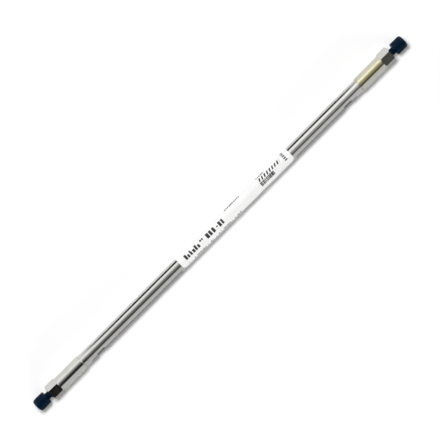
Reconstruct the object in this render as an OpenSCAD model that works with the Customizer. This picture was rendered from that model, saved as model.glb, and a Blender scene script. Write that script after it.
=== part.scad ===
// Analytical HPLC column, lying along X with its axis through the origin.
// A bored steel tube is packed from end to end and closed at each end by a frit in a sealing ring
// and by a hexagon-headed end fitting. Each port is shut by a knurled plug with its own ferrule.
// +X is the inlet end and +Z is up. The column lies on one flat of each hexagon.

/* [Column tube] */
// Length of the tube, which is also the length of the packed bed
tube_len = 250; // [150:5:300]
// Bore of the tube
bore_d = 4.6; // [3:0.1:6]
// Wall of the tube
tube_wall = 1.67; // [1.4:0.01:3]
// Depth to which the tube's ends are turned down for their thread
thread_relief = 0.35; // [0.2:0.05:0.6]
// Depth of the two wrench flats below the tube's surface
flat_depth = 0.47; // [0.2:0.01:0.7]
// Length of a wrench flat along the tube
flat_len = 5.5; // [3:0.5:8]
// Bare tube between a wrench flat and the skirt of the end fitting
flat_gap = 8.85; // [2:0.05:12]
// Angle of the wrench flats from straight up, towards the front (-Y)
flat_angle = 60; // [0:60:120]

/* [End fitting] */
// How far the skirt of the fitting reaches back over the tube
grip_len = 15.85; // [8:0.05:20]
// Step from the tube's surface up to the skirt
skirt_step = 0.5; // [0.3:0.05:2]
// Length of the smooth lip at the mouth of the skirt, ahead of its thread
lip_len = 2; // [1:0.1:4]
// Chamfer at the mouth of the skirt
skirt_chamfer = 0.3; // [0.1:0.05:0.3]
// Step from the skirt up to the hexagon's flats
hex_step = 0.03; // [0.02:0.01:2]
// Length of the hexagon
hex_len = 7.2; // [4:0.1:9]
// How far the corner chamfer of the hexagon cuts into its end face
hex_bite = 0.15; // [0.05:0.05:0.4]
// Slope of the hexagon's corner chamfers, from its end faces
hex_slope = 30; // [15:5:45]

/* [Port] */
// Bore of the port's thread
port_d = 4.56; // [4:0.01:5.2]
// Depth of the port's thread
port_depth = 5.1; // [3:0.1:8]
// Width of the chamfer at the port's mouth
port_chamfer = 0.4; // [0.1:0.05:0.6]
// Full angle of the cone that the ferrule seals on
seat_angle = 90; // [60:5:110]
// Pilot hole for the end of a capillary
pilot_d = 1.6; // [1:0.1:2]
// Depth of the pilot hole
pilot_len = 0.72; // [0.4:0.01:2]
// Bore of the flow passage
passage_d = 0.5; // [0.2:0.05:0.8]
// Length of the flow passage
passage_len = 0.6; // [0.3:0.1:2]
// Depth of the shallow cone that spreads the flow over the frit
spread_depth = 0.25; // [0.1:0.05:0.5]

/* [Frit] */
// Thickness of the frit and of its sealing ring
frit_len = 1.6; // [1:0.1:3]
// How far the frit laps over the edge of the bore
frit_lap = 0.15; // [0.05:0.05:0.25]
// How far the ring's rim lies inside the tube's thread
ring_inset = 0.3; // [0.15:0.05:0.5]

/* [Plug] */
// Length of bare thread between the fitting and the knurled head
neck_len = 2.6; // [1:0.1:5]
// Diameter of the knurled head
head_d = 7.8; // [6.5:0.1:12]
// Length of the knurled head
head_len = 8; // [5:0.1:12]
// Radius of the head's outer corner
crown_r = 1.8; // [0.5:0.1:2.4]
// Radius of the head's domed end
dome_r = 14; // [10:0.5:30]
// Chamfer at the head's inner end
head_chamfer = 0.35; // [0.1:0.05:0.8]
// Number of grooves in the knurl
knurl_count = 36; // [20:1:44]
// Depth of a knurl groove
knurl_depth = 0.2; // [0.1:0.05:0.3]
// Length of the plain collar at the head's inner end, before the knurl
collar_len = 0.9; // [0.5:0.1:2]
// Chamfer at the end of the plug's thread
shank_chamfer = 0.3; // [0.1:0.05:0.5]
// Length of the ferrule's straight back, behind its cone
ferrule_back = 0.6; // [0.4:0.1:1.5]
// Diameter of the ferrule's peg, which holds it in the plug
peg_d = 1.8; // [1.2:0.1:2.4]
// Length of the ferrule's peg
peg_len = 1.8; // [1:0.1:3]

/* [Label] */
// Length of the label along the tube
label_len = 87.2; // [40:0.1:100]
// Place of the label's middle, from the column's middle towards the inlet
label_shift = 11.5; // [-12:0.5:12]
// Thickness of the label
label_t = 0.15; // [0.1:0.05:0.3]
// How far round the tube the label wraps
label_wrap = 295; // [180:5:330]
// Angle of the label's front edge from straight up, towards the front (-Y)
label_edge = 60; // [0:5:90]
// Radius of the label's corners
label_corner = 3.2; // [0.5:0.1:3.5]

/* [Clearances] */
// Clearance all round between threaded or slipped pieces that are made up tight
slip = 0.02; // [0.01:0.01:0.05]
// Clearance all round between the port and what turns in it
run_gap = 0.03; // [0.02:0.01:0.08]
// Axial gap between the ferrule and its seat before the last hand torque
seat_gap = 0.06; // [0.04:0.01:0.15]

/* [Hidden] */
$fn = 96;
over = 1;            // how far a cutter runs past the face that it cuts
shoulder_gap = 0.1;  // axial room ahead of the tube's shoulder and behind its end face
corner_run = 0.05;   // how far the arc of a label corner runs past the edges of the sheet

// Diameters, worked outwards from the bore
tube_d = bore_d + 2 * tube_wall;
thread_d = tube_d - 2 * thread_relief;
skirt_d = tube_d + 2 * skirt_step;
hex_af = skirt_d + 2 * hex_step;
hex_ac = hex_af / cos(30);
frit_d = bore_d + 2 * frit_lap;
ring_d = thread_d - 2 * ring_inset;
shank_d = port_d - 2 * run_gap;
ferrule_d = port_d - 4 * run_gap;

// Distances from the column's middle, worked outwards along its axis
tube_end = tube_len / 2;
skirt_z = tube_end - grip_len;
shoulder_z = skirt_z + lip_len;
flat_z = skirt_z - flat_gap - flat_len;
floor_z = tube_end + frit_len;
spread_z = floor_z + spread_depth;
pilot_z = spread_z + passage_len;
seat_z = pilot_z + pilot_len;
thread_z = seat_z + (port_d - pilot_d) / 2 / tan(seat_angle / 2);
face_z = thread_z + port_depth;
hex_z = face_z - hex_len;
ferrule_z = thread_z + ferrule_back;
head_z = face_z + neck_len;

// Lays a shape built along Z down along X, with the shape's own X axis pointing up.
module along_x() {
    rotate([0, 90, 0]) rotate([0, 0, 180]) children();
}

// Places a shape built outwards along Z at the inlet end (side = 1) or the outlet end (side = -1).
module at_end(side) {
    mirror([side < 0 ? 1 : 0, 0, 0]) along_x() children();
}

// A straight round bar from z1 to z2.
module bar(d, z1, z2) {
    translate([0, 0, z1]) cylinder(d = d, h = z2 - z1);
}

// A cone or a chamfer, d1 across at z1 and d2 across at z2.
module taper(d1, d2, z1, z2) {
    translate([0, 0, z1]) cylinder(d1 = d1, d2 = d2, h = z2 - z1);
}

// ---- Tube, bed and label ----

// One end's pair of parallel wrench flats, as the stock to cut away.
module flat_cutters() {
    for (turn = [0, 180])
        rotate([0, 0, flat_angle + turn])
            translate([tube_d / 2 - flat_depth, -tube_d / 2, flat_z])
                cube([tube_d, tube_d, flat_len]);
}

// The stock turned off one end of the tube to leave its threaded spigot.
module spigot_cutter() {
    difference() {
        bar(tube_d + over, shoulder_z - shoulder_gap, tube_end + over);
        bar(thread_d, shoulder_z - over, tube_end + 2 * over);
    }
}

module column_tube() {
    color([0.80, 0.80, 0.79])
        difference() {
            along_x() bar(tube_d, -tube_end, tube_end);
            along_x() bar(bore_d, -tube_end - over, tube_end + over);
            for (side = [1, -1])
                at_end(side) {
                    flat_cutters();
                    spigot_cutter();
                }
        }
}

module packed_bed() {
    color([0.93, 0.92, 0.88])
        along_x() bar(bore_d, -tube_end, tube_end);
}

// The stock to trim from one corner of the label's sheet: a square less a quarter of a disc,
// pushed through the wall along the radius at the middle of the corner. The arc runs a little
// way past both edges of the sheet, so that it meets each at a shallow angle.
module corner_cutter() {
    rotate([0, 90, 0])
        linear_extrude(tube_d)
            translate([-corner_run, -corner_run])
                difference() {
                    translate([-over, -over]) square(label_corner + over);
                    translate([label_corner, label_corner]) circle(r = label_corner);
                }
}

// Both corner cutters of the label's end at +Z.
module corner_pair() {
    r = tube_d / 2;
    half_turn = asin(label_corner / 2 / r);
    translate([0, 0, label_len / 2]) {
        rotate([0, 0, label_edge - half_turn])
            translate([0, label_corner / 2, 0]) mirror([0, 1, 0]) corner_cutter();
        rotate([0, 0, label_edge - label_wrap + half_turn])
            translate([0, -label_corner / 2, 0]) corner_cutter();
    }
}

module label() {
    color([0.95, 0.95, 0.94])
        along_x()
            translate([0, 0, label_shift])
                difference() {
                    rotate([0, 0, label_edge - label_wrap])
                        rotate_extrude(angle = label_wrap)
                            translate([tube_d / 2, -label_len / 2]) square([label_t, label_len]);
                    for (side = [1, -1])
                        mirror([0, 0, side < 0 ? 1 : 0]) corner_pair();
                }
}

// ---- Frit and its sealing ring, both pressed against the tube's end face ----

module frit() {
    bar(frit_d, tube_end, floor_z);
}

module frit_ring() {
    difference() {
        bar(ring_d, tube_end, floor_z);
        bar(frit_d, tube_end - over, floor_z + over);
    }
}

// ---- End fitting ----

// The hexagon, with its corners chamfered at both ends.
module hexagon() {
    rim = hex_ac / 2;
    outer_start = hex_af / 2 - hex_bite;
    inner_start = skirt_d / 2;
    intersection() {
        translate([0, 0, hex_z]) rotate([0, 0, 30]) cylinder(d = hex_ac, h = hex_len, $fn = 6);
        rotate_extrude()
            polygon([[0, hex_z],
                     [inner_start, hex_z],
                     [rim, hex_z + (rim - inner_start) * tan(hex_slope)],
                     [rim, face_z - (rim - outer_start) * tan(hex_slope)],
                     [outer_start, face_z],
                     [0, face_z]]);
    }
}

// The skirt that screws over the tube's spigot.
module skirt() {
    bar(skirt_d, skirt_z + skirt_chamfer, hex_z + hex_len / 2);
    taper(skirt_d - 2 * skirt_chamfer, skirt_d, skirt_z, skirt_z + skirt_chamfer);
}

// Everything hollow on the tube's side: the lip, the thread and the ring's pocket.
module tube_socket() {
    bar(tube_d + 2 * slip, skirt_z - over, shoulder_z);
    bar(thread_d + 2 * slip, skirt_z, tube_end + shoulder_gap);
    bar(ring_d + 2 * slip, skirt_z, floor_z);
}

// Everything hollow on the port's side, from the frit out to the mouth.
module port() {
    taper(frit_d - 2 * frit_lap, passage_d, floor_z, spread_z);
    bar(passage_d, floor_z, seat_z);
    bar(pilot_d, pilot_z, thread_z);
    taper(pilot_d, port_d, seat_z, thread_z);
    bar(port_d, thread_z, face_z + over);
    taper(port_d, port_d + 2 * (port_chamfer + over), face_z - port_chamfer, face_z + over);
}

module end_fitting() {
    difference() {
        union() {
            hexagon();
            skirt();
        }
        tube_socket();
        port();
    }
}

// ---- Plug and its ferrule ----

// The cone that seals the port, with the straight back and the peg that the plug turns on.
module ferrule() {
    nose_z = seat_z + seat_gap;
    cone_end = nose_z + (ferrule_d - pilot_d) / 2 / tan(seat_angle / 2);
    taper(pilot_d, ferrule_d, nose_z, cone_end);
    bar(ferrule_d, cone_end, ferrule_z);
    bar(peg_d, cone_end, ferrule_z + peg_len);
}

// Half section of the head: a straight side, a rounded and domed outer end and a chamfered inner one.
module head_section() {
    intersection() {
        union() {
            square([head_d / 2, head_len - crown_r]);
            square([head_d / 2 - crown_r, head_len]);
            translate([head_d / 2 - crown_r, head_len - crown_r]) circle(r = crown_r);
        }
        translate([0, head_len - dome_r]) circle(r = dome_r);
        polygon([[0, 0], [head_d / 2 - head_chamfer, 0], [head_d / 2, head_chamfer],
                 [head_d / 2, head_len], [0, head_len]]);
    }
}

// The straight grooves of the knurl, between the plain collar and the rounded end.
module knurl_cutters() {
    for (i = [0 : knurl_count - 1])
        rotate([0, 0, i * 360 / knurl_count])
            translate([head_d / 2, 0, head_z + collar_len])
                rotate([0, 0, 45])
                    translate([-knurl_depth / sqrt(2), -knurl_depth / sqrt(2), 0])
                        cube([knurl_depth * sqrt(2), knurl_depth * sqrt(2),
                              head_len - crown_r - collar_len]);
}

module plug_head() {
    difference() {
        translate([0, 0, head_z]) rotate_extrude() head_section();
        knurl_cutters();
    }
}

module plug() {
    difference() {
        union() {
            plug_head();
            bar(shank_d, ferrule_z + shank_chamfer, head_z + over);
            taper(shank_d - 2 * shank_chamfer, shank_d, ferrule_z, ferrule_z + shank_chamfer);
        }
        bar(peg_d + 2 * run_gap, ferrule_z - over, ferrule_z + peg_len + run_gap);
    }
}

module inlet_frit() {
    color([0.62, 0.62, 0.60]) at_end(1) frit();
}

module inlet_frit_ring() {
    color([0.86, 0.80, 0.66]) at_end(1) frit_ring();
}

module inlet_end_fitting() {
    color([0.84, 0.82, 0.70]) at_end(1) end_fitting();
}

module inlet_plug_ferrule() {
    color([0.86, 0.80, 0.66]) at_end(1) ferrule();
}

module inlet_plug() {
    color([0.07, 0.11, 0.17]) at_end(1) plug();
}

module outlet_frit() {
    color([0.62, 0.62, 0.60]) at_end(-1) frit();
}

module outlet_frit_ring() {
    color([0.86, 0.80, 0.66]) at_end(-1) frit_ring();
}

module outlet_end_fitting() {
    color([0.82, 0.81, 0.80]) at_end(-1) end_fitting();
}

module outlet_plug_ferrule() {
    color([0.86, 0.80, 0.66]) at_end(-1) ferrule();
}

module outlet_plug() {
    color([0.07, 0.11, 0.17]) at_end(-1) plug();
}

column_tube();
packed_bed();
label();
inlet_frit();
inlet_frit_ring();
inlet_end_fitting();
inlet_plug_ferrule();
inlet_plug();
outlet_frit();
outlet_frit_ring();
outlet_end_fitting();
outlet_plug_ferrule();
outlet_plug();
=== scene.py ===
"""Dresses an analytical HPLC column: a steel tube in hexagon-headed end fittings, a printed label
wrapped round it, and a knurled screw plug in each port. Lengths are in metres; +X is the inlet end.
"""

import logging
import math
from dataclasses import dataclass, field
from enum import Enum
from typing import Callable, Sequence

import bpy
from mathutils import Matrix, Vector


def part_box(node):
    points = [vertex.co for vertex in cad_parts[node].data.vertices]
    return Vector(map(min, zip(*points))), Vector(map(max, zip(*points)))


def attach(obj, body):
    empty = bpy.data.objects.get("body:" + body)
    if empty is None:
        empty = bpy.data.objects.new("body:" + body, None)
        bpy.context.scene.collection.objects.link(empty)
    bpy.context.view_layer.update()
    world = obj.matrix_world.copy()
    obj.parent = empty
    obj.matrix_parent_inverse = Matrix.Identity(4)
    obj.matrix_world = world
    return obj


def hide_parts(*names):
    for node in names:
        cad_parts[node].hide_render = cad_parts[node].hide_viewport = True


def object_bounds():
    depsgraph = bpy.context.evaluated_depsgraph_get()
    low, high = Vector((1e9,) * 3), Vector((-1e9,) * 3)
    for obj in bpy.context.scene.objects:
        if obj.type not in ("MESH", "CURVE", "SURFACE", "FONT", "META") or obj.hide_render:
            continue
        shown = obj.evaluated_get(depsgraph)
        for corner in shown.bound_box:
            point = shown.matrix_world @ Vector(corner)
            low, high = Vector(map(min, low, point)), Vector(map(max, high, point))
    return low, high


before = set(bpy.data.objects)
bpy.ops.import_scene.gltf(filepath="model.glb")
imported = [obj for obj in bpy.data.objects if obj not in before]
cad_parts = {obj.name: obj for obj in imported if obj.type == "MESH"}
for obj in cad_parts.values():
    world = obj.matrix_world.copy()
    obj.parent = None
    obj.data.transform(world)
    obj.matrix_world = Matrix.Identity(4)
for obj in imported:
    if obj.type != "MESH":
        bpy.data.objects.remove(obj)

log = logging.getLogger("column")

Object = bpy.types.Object
Material = bpy.types.Material
NodeTree = bpy.types.NodeTree
Node = bpy.types.Node
Socket = bpy.types.NodeSocket
Colour = tuple[float, ...]
Pair = tuple[float, float]
Station = Pair  # a step of a turned profile: place along the axis, radius there
Bands = tuple[Pair, ...]  # light round the column: angle in degrees, level

MM = 0.001
CAD_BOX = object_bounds()
FINE_SIDES = 144
POINT_R = 0.0005 * MM
MERGE = 0.001 * MM
SAME_SIZE = 1e-9
WHITE = (1.0, 1.0, 1.0, 1.0)


# ---------------------------------------------------------------- modelling with operators


def deselect_all() -> None:
    """Leaves nothing selected and nothing active."""
    for obj in bpy.context.selected_objects:
        obj.select_set(False)
    bpy.context.view_layer.objects.active = None


def activate(obj: Object) -> None:
    """Makes an object the only selected and the active one.

    Args:
        obj: The object.
    """
    deselect_all()
    obj.select_set(True)
    bpy.context.view_layer.objects.active = obj


def enter_edit(obj: Object, mode: str = "VERT") -> None:
    """Opens an object's mesh for editing, with everything in it selected.

    Args:
        obj: The object.
        mode: What is selected: VERT, EDGE or FACE.
    """
    activate(obj)
    bpy.ops.object.mode_set(mode="EDIT")
    bpy.ops.mesh.select_mode(type=mode)
    bpy.ops.mesh.select_all(action="SELECT")


def leave_edit() -> None:
    """Goes back to object mode."""
    bpy.ops.object.mode_set(mode="OBJECT")


def newest(name: str) -> Object:
    """Names the piece that an operator has just made, and its mesh.

    Args:
        name: Its name.

    Returns:
        The piece.
    """
    obj = bpy.context.view_layer.objects.active
    obj.name = name
    obj.data.name = name
    return obj


def freeze_place(obj: Object) -> None:
    """Puts the object's place, turn and scale into its mesh."""
    activate(obj)
    bpy.ops.object.transform_apply(location=True, rotation=True, scale=True)


def set_down(add: Callable[..., object], name: str, size: Sequence[float],
             place: Sequence[float] = (0.0, 0.0, 0.0), turn: float = 0.0) -> Object:
    """Adds a plane or a cube, with its place in its mesh.

    Args:
        add: The operator that adds it.
        name: Its name.
        size: Its lengths along X, Y and Z before it is turned.
        place: Its middle.
        turn: Its turn about X.

    Returns:
        The piece.
    """
    add(size=1.0)
    obj = newest(name)
    obj.scale = size
    obj.rotation_euler = (turn, 0.0, 0.0)
    obj.location = place
    freeze_place(obj)
    return obj


def modify(obj: Object, kind: str, **settings: object) -> None:
    """Gives an object a modifier and applies it.

    Args:
        obj: The object.
        kind: Kind of the modifier.
        **settings: The modifier's properties.
    """
    modifier = obj.modifiers.new(kind.lower(), kind)
    for key, value in settings.items():
        setattr(modifier, key, value)
    activate(obj)
    bpy.ops.object.modifier_apply(modifier=modifier.name)


def close_up(obj: Object) -> None:
    """Merges doubled vertices and turns every face outwards.

    Args:
        obj: The piece.
    """
    enter_edit(obj)
    bpy.ops.mesh.remove_doubles(threshold=MERGE)
    bpy.ops.mesh.normals_make_consistent(inside=False)
    leave_edit()


def soften_edges(obj: Object, width: float, angle: float = 28.0) -> None:
    """Breaks the sharp edges of a piece with a narrow rounded bevel of two faces.

    Args:
        obj: The piece.
        width: Width of the broken edge.
        angle: Smallest edge angle, in degrees, that is bevelled.
    """
    modify(obj, "BEVEL", width=width, segments=2, limit_method="ANGLE",
           angle_limit=math.radians(angle), miter_outer="MITER_ARC", use_clamp_overlap=True)


def smooth(obj: Object, angle: float = 32.0) -> None:
    """Shades the piece smooth, with its edges sharper than the angle crisp and its flats even.

    Args:
        obj: The piece.
        angle: The angle, in degrees.
    """
    activate(obj)
    bpy.ops.object.shade_smooth_by_angle(angle=math.radians(angle))
    modify(obj, "WEIGHTED_NORMAL", keep_sharp=True, weight=90)
    deselect_all()


def keep_inside(obj: Object, node: str) -> None:
    """Brings what a broken edge pushed a few microns out of the CAD node's own box back onto it.

    Args:
        obj: The piece.
        node: The CAD node.
    """
    low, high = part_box(node)
    for vertex in obj.data.vertices:
        vertex.co = Vector([min(max(value, least), most)
                            for value, least, most in zip(vertex.co, low, high)])


def copy_turned(obj: Object, name: str) -> Object:
    """Copies a piece of the inlet end and turns it half round the vertical axis to the outlet end.

    Args:
        obj: The finished piece at the inlet end.
        name: Name of the copy.

    Returns:
        The copy, with its own mesh.
    """
    activate(obj)
    bpy.ops.object.duplicate(linked=False)
    twin = newest(name)
    twin.rotation_euler = (0.0, 0.0, math.pi)
    freeze_place(twin)
    return twin


def mill_flat(obj: Object, x: float, length: float, radius: float, turn: float,
              size: float) -> None:
    """Mills one flat, parallel to the axis, on a turned piece.

    Args:
        obj: The piece.
        x: Middle of the flat, along the axis.
        length: Length of the flat.
        radius: Distance of the flat from the axis.
        turn: Angle of the flat from straight up, towards the front.
        size: Width and height of the cutter.
    """
    reach = radius + size / 2
    mill = set_down(bpy.ops.mesh.primitive_cube_add, "mill", (length, size, size),
                    (x, -reach * math.sin(turn), reach * math.cos(turn)), turn)
    modify(obj, "BOOLEAN", operation="DIFFERENCE", solver="EXACT", object=mill)
    bpy.data.objects.remove(mill, do_unlink=True)


def turn_on_lathe(name: str, profile: Sequence[Station], sides: int = FINE_SIDES,
                  looped: bool = False) -> Object:
    """Turns a piece round the X axis: a ring of vertices is drawn out from station to station.

    Args:
        name: Name of the piece.
        profile: Its stations, in order. A station of no radius closes the end in a point.
        sides: Vertices in each ring.
        looped: True for a hollow piece, whose profile comes back to its first station.

    Returns:
        The closed piece, with its place in its mesh.
    """
    path = [(x, max(r, POINT_R)) for x, r in profile]
    if looped:
        path.append(path[0])
    start_x, start_r = path[0]
    bpy.ops.mesh.primitive_circle_add(vertices=sides, radius=start_r, location=(start_x, 0.0, 0.0),
                                      rotation=(0.0, math.pi / 2, 0.0))
    obj = newest(name)
    freeze_place(obj)
    enter_edit(obj, "EDGE")
    if not looped:
        bpy.ops.mesh.edge_face_add()
        bpy.ops.mesh.select_all(action="SELECT")
    for (here_x, here_r), (there_x, there_r) in zip(path, path[1:]):
        move = {"value": (there_x - here_x, 0.0, 0.0)}
        bpy.ops.mesh.extrude_edges_move(TRANSFORM_OT_translate=move)
        factor = there_r / here_r
        if abs(factor - 1.0) > SAME_SIZE:
            bpy.ops.transform.resize(value=(1.0, factor, factor),
                                     center_override=(there_x, 0.0, 0.0))
    if not looped:
        bpy.ops.mesh.edge_face_add()
    leave_edit()
    close_up(obj)
    return obj


def arc(centre: Station, radius: float, start: float, end: float, steps: int) -> list[Station]:
    """Works out the stations of a round in a profile.

    Args:
        centre: Centre of the round.
        radius: Radius of the round.
        start: First angle in degrees, from the radial direction towards +X.
        end: Last angle.
        steps: Stretches between the two.

    Returns:
        The stations, both ends among them.
    """
    angles = [math.radians(start + (end - start) * i / steps) for i in range(steps + 1)]
    return [(centre[0] + radius * math.sin(a), centre[1] + radius * math.cos(a)) for a in angles]


# ---------------------------------------------------------------- colours and shader nodes


def srgb(red: int, green: int, blue: int) -> Colour:
    """Turns a colour as read off a screen, 0 to 255, into the linear one that shaders take.

    Args:
        red: Its red.
        green: Its green.
        blue: Its blue.

    Returns:
        The linear colour, with an alpha of 1.
    """
    shares = [level / 255.0 for level in (red, green, blue)]
    return (*[s / 12.92 if s <= 0.04045 else ((s + 0.055) / 1.055) ** 2.4 for s in shares], 1.0)


class Graph:
    """A node tree under construction, with short calls for the nodes that the finishes use."""

    def __init__(self, tree: NodeTree) -> None:
        """Wraps a tree, which may be a material's, the world's or a group's."""
        self.tree = tree

    def add(self, kind: str, **settings: object) -> Node:
        """Adds a node.

        Args:
            kind: Its kind.
            **settings: Its properties.

        Returns:
            The node.
        """
        node = self.tree.nodes.new(kind)
        for key, value in settings.items():
            setattr(node, key, value)
        return node

    def feed(self, socket: Socket, value: object) -> None:
        """Links a socket to another one, or gives it a constant.

        Args:
            socket: The input.
            value: The socket that feeds it, or the constant.
        """
        if isinstance(value, Socket):
            self.tree.links.new(value, socket)
        else:
            socket.default_value = value

    def fill(self, node: Node, *values: object, **named: object) -> Sequence[Socket]:
        """Feeds a node's inputs.

        Args:
            node: The node.
            *values: What its inputs get, from the first one on.
            **named: What other inputs get, by name, with underscores for spaces.

        Returns:
            The node's outputs.
        """
        for socket, value in zip(node.inputs, values):
            self.feed(socket, value)
        for key, value in named.items():
            self.feed(node.inputs[key.replace("_", " ")], value)
        return node.outputs

    def math(self, operation: str, *values: object, clamp: bool = False) -> Socket:
        """Returns the result of a Math node on up to three values."""
        return self.fill(self.add("ShaderNodeMath", operation=operation, use_clamp=clamp),
                         *values)[0]

    def plus(self, first: object, second: object) -> Socket:
        """Adds two values."""
        return self.math("ADD", first, second)

    def less(self, first: object, second: object) -> Socket:
        """Takes the second value from the first."""
        return self.math("SUBTRACT", first, second)

    def times(self, first: object, second: object) -> Socket:
        """Multiplies two values."""
        return self.math("MULTIPLY", first, second)

    def span(self, value: object, low: float, high: float, to_low: float = 0.0,
             to_high: float = 1.0, gentle: bool = True) -> Socket:
        """Maps a value from one range to another and holds it at both ends.

        Args:
            value: The value.
            low: Start of its range.
            high: End of its range.
            to_low: What the start is mapped to.
            to_high: What the end is mapped to.
            gentle: Whether the slope eases in and out.

        Returns:
            The mapped value.
        """
        kind = "SMOOTHSTEP" if gentle else "LINEAR"
        node = self.add("ShaderNodeMapRange", clamp=True, interpolation_type=kind)
        return self.fill(node, value, low, high, to_low, to_high)[0]

    def blend(self, factor: object, first: object, second: object, mode: str = "MIX") -> Socket:
        """Mixes two colours.

        Args:
            factor: Share of the second colour.
            first: The first colour.
            second: The second colour.
            mode: How they are mixed.

        Returns:
            The mixed colour.
        """
        node = self.add("ShaderNodeMix", data_type="RGBA", blend_type=mode)
        for slot, value in ((0, factor), (6, first), (7, second)):
            self.feed(node.inputs[slot], value)
        return node.outputs[2]

    def noise(self, place: object, scale: object, detail: float = 2.0, **other: float) -> Socket:
        """Returns the value of a Noise Texture."""
        return self.fill(self.add("ShaderNodeTexNoise"), Vector=place, Scale=scale, Detail=detail,
                         **other)["Fac"]

    def split(self, vector: object) -> Sequence[Socket]:
        """Returns the X, Y and Z of a vector."""
        return self.fill(self.add("ShaderNodeSeparateXYZ"), vector)

    def join_xyz(self, x: object, y: object, z: object) -> Socket:
        """Makes a vector of three values."""
        return self.fill(self.add("ShaderNodeCombineXYZ"), x, y, z)[0]

    def use(self, group: NodeTree, **values: object) -> Sequence[Socket]:
        """Places a group, sets its inputs by name and returns its outputs."""
        return self.fill(self.add("ShaderNodeGroup", node_tree=group), **values)

    def ramp(self, factor: object, stops: Sequence[tuple[float, Colour]]) -> Socket:
        """Adds a colour ramp.

        Args:
            factor: The place on the ramp.
            stops: Place and colour of each stop, in order.

        Returns:
            The ramp's colour.
        """
        node = self.add("ShaderNodeValToRGB")
        stretch = node.color_ramp.elements
        while len(stretch) < len(stops):
            stretch.new(0.5)
        for element, (position, colour) in zip(stretch, stops):
            element.position = position
            element.color = colour
        return self.fill(node, factor)[0]


def new_group(name: str, inputs: dict[str, float | None], *outputs: str
              ) -> tuple[Graph, Sequence[Socket], Node]:
    """Starts a node group.

    Args:
        name: Name of the group.
        inputs: Each input's name with its default number, or None for a vector.
        *outputs: The names of its values.

    Returns:
        The group's graph, what it is given, and its output node.
    """
    tree = bpy.data.node_groups.new(name, "ShaderNodeTree")
    for key, value in inputs.items():
        kind = "NodeSocketVector" if value is None else "NodeSocketFloat"
        socket = tree.interface.new_socket(name=key, in_out="INPUT", socket_type=kind)
        if value is not None:
            socket.default_value = value
    for key in outputs:
        tree.interface.new_socket(name=key, in_out="OUTPUT", socket_type="NodeSocketFloat")
    graph = Graph(tree)
    return graph, graph.add("NodeGroupInput").outputs, graph.add("NodeGroupOutput")


def make_ring_marks() -> NodeTree:
    """Makes the fine and the coarse rings that a lathe tool leaves round a turned piece.

    Returns:
        The group.
    """
    squash, coarse_pitch, coarse_share, total_share = 0.02, 0.22, 0.6, 0.62
    g, given, out = new_group("ring_marks", {"Place": None, "Per Metre": 9000.0}, "Height")
    x, y, z = g.split(given["Place"])
    along = g.join_xyz(x, g.times(y, squash), g.times(z, squash))
    fine = g.noise(along, given["Per Metre"], 3.0)
    coarse = g.noise(along, g.times(given["Per Metre"], coarse_pitch))
    total = g.plus(fine, g.times(coarse, coarse_share))
    g.fill(out, Height=g.times(total, total_share))
    return g.tree


def make_draw_lines() -> NodeTree:
    """Makes the faint lengthwise lines of drawn and polished tube, finer round it than along it.

    Returns:
        The group.
    """
    g, given, out = new_group("draw_lines", {"Place": None, "Round": 3200.0, "Along": 60.0},
                              "Height")
    shares = [g.times(part, given[way])
              for part, way in zip(g.split(given["Place"]), ("Along", "Round", "Round"))]
    g.fill(out, Height=g.noise(g.join_xyz(*shares), 1.0, 4.0, Roughness=0.6))
    return g.tree


def make_smudges() -> NodeTree:
    """Makes the soft uneven patches that handling and cleaning leave on a polished surface.

    Returns:
        The group.
    """
    none_from, share_weight, contrast = 0.75, 0.4, 4.0
    g, given, out = new_group("smudges", {"Place": None, "Scale": 120.0, "Share": 0.5}, "Mask")
    cloud = g.noise(given["Place"], given["Scale"], 5.0, Distortion=0.7)
    low = g.less(none_from, g.times(given["Share"], share_weight))
    spread = g.less(cloud, low)
    g.fill(out, Mask=g.math("MULTIPLY", spread, contrast, clamp=True))
    return g.tree


def make_grit() -> NodeTree:
    """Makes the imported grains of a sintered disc, a powder or a matt moulded skin.

    Returns:
        The group.
    """
    g, given, out = new_group("grit", {"Place": None, "Per Metre": 9000.0}, "Height", "Tone")
    cells = g.fill(g.add("ShaderNodeTexVoronoi", feature="F1"), Vector=given["Place"],
                   Scale=given["Per Metre"])
    g.fill(out, Height=g.less(1.0, cells["Distance"]), Tone=g.split(cells["Color"])[0])
    return g.tree


def make_printed_bar() -> NodeTree:
    """Makes one soft-edged printed bar, or a row of them, on a sheet of two coordinates.

    The row repeats at the pitch inside its length, and each bar fills its share of the pitch.
    Jitter moves that share from bar to bar, and Slant leans the bars over.

    Returns:
        The group.
    """
    soft_edge = 0.05
    g, given, out = new_group(
        "printed_bar",
        {"U": 0.0, "V": 0.0, "Start": 0.0, "Length": 1.0, "Base": 0.0, "Height": 1.0,
         "Pitch": 1000.0, "Fill": 1.0, "Jitter": 0.0, "Slant": 0.0}, "Mask")

    def inside(value: Socket, length: Socket) -> Socket:
        """Returns 1 between 0 and the length, with a soft edge at both."""
        return g.times(*[g.math("DIVIDE", part, soft_edge, clamp=True)
                         for part in (value, g.less(length, value))])

    rise = g.less(given["V"], given["Base"])
    run = g.less(g.less(given["U"], given["Start"]), g.times(rise, given["Slant"]))
    step = g.math("FLOOR", g.math("DIVIDE", run, given["Pitch"]))
    local = g.less(run, g.times(step, given["Pitch"]))
    dice = g.fill(g.add("ShaderNodeTexWhiteNoise", noise_dimensions="2D"),
                  Vector=g.join_xyz(step, given["Base"], 0.0))
    spread = g.times(g.less(dice["Value"], 0.5), given["Jitter"])
    width = g.times(given["Pitch"], g.plus(given["Fill"], spread))
    row = g.times(inside(run, given["Length"]), inside(rise, given["Height"]))
    g.fill(out, Mask=g.times(row, inside(local, width)))
    return g.tree


class Effects:
    """The node groups that several finishes share, each built once."""

    def __init__(self) -> None:
        """Builds every group."""
        self.ring_marks = make_ring_marks()
        self.draw_lines = make_draw_lines()
        self.smudges = make_smudges()
        self.grit = make_grit()
        self.printed_bar = make_printed_bar()


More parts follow.
